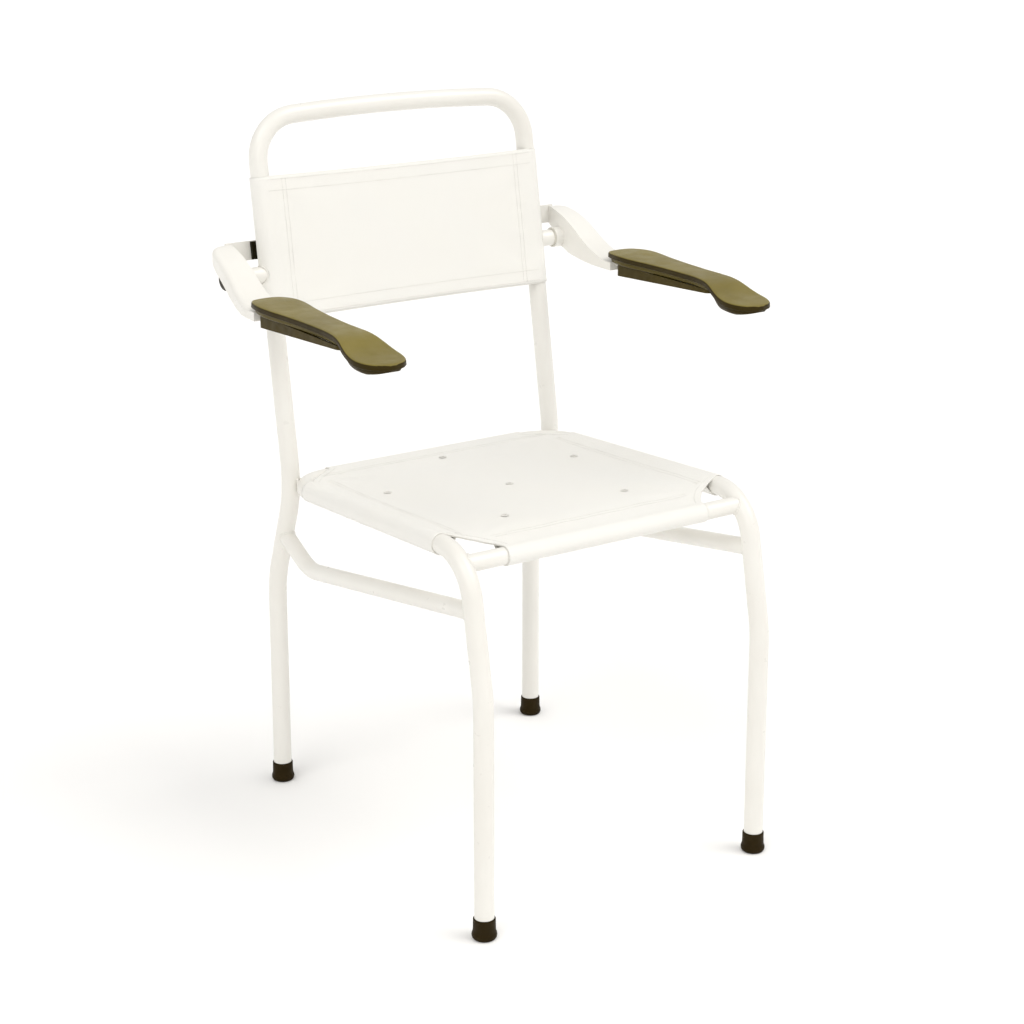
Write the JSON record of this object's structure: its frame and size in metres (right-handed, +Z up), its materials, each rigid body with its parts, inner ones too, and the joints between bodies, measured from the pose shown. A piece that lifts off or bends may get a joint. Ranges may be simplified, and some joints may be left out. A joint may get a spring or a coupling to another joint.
{
  "type": "shower chair",
  "caption": "Shower chair with a bent tube frame, fabric sling seat with drain holes, fabric back, padded arms that swing up, and rubber feet.",
  "frame": {"origin": "on the floor, at the centre of the bounding box", "axes": "+Z up, the front of the seat faces -Y, +X to the right of someone who faces the chair's front"},
  "size_m": [0.6196, 0.593, 0.9571],
  "materials": {
    "frame_paint": "white powder coat, satin, fine orange peel",
    "sling_fabric": "white coated mesh fabric, fine plain weave, matt",
    "eyelet_metal": "white moulded eyelet",
    "foot_rubber": "black rubber, matt, moulded",
    "stop_rubber": "black rubber, matt",
    "cap_plastic": "black moulded cap, satin",
    "zinc_steel": "zinc plated, dull",
    "bush_nylon": "natural nylon",
    "carrier_plastic": "dark olive moulded plastic, satin",
    "pad_foam": "olive brown skinned foam, fine grain, satin",
    "insert_brass": "plain turned brass"
  },
  "bodies": {
    "frame": {"back_frame": "frame_paint", "seat_frame": "frame_paint", "front_rail": "frame_paint", "side_stretcher_left": "frame_paint", "side_stretcher_right": "frame_paint", "seat_sling": "sling_fabric", "back_sling": "sling_fabric", "drain_eyelets": "eyelet_metal", "foot_discs": "zinc_steel", "foot_front_left": "foot_rubber", "foot_front_right": "foot_rubber", "foot_rear_left": "foot_rubber", "foot_rear_right": "foot_rubber", "pivot_stub_left": "frame_paint", "pivot_stub_right": "frame_paint", "pivot_washer_left": "zinc_steel", "pivot_washer_right": "zinc_steel", "pivot_nut_left": "zinc_steel", "pivot_nut_right": "zinc_steel", "pivot_cap_left": "cap_plastic", "pivot_cap_right": "cap_plastic"},
    "arm_left": {"arm_bracket_left": "frame_paint", "pivot_bush_left": "bush_nylon", "stop_bumper_left": "stop_rubber", "pad_carrier_left": "carrier_plastic", "arm_pad_left": "pad_foam", "pad_screws_left": "zinc_steel", "pad_inserts_left": "insert_brass"},
    "arm_right": {"arm_bracket_right": "frame_paint", "pivot_bush_right": "bush_nylon", "stop_bumper_right": "stop_rubber", "pad_carrier_right": "carrier_plastic", "arm_pad_right": "pad_foam", "pad_screws_right": "zinc_steel", "pad_inserts_right": "insert_brass"}
  },
  "joints": [
    {"name": "arm_left_fold", "type": "hinge", "parent": "frame", "child": "arm_left", "pos_m": [-0.2515, 0.24882, 0.73496], "axis": [-1, 0, 0], "range_deg": [0, 100]},
    {"name": "arm_right_fold", "type": "hinge", "parent": "frame", "child": "arm_right", "pos_m": [0.2515, 0.24882, 0.73496], "axis": [-1, 0, 0], "range_deg": [0, 100]}
  ]
}
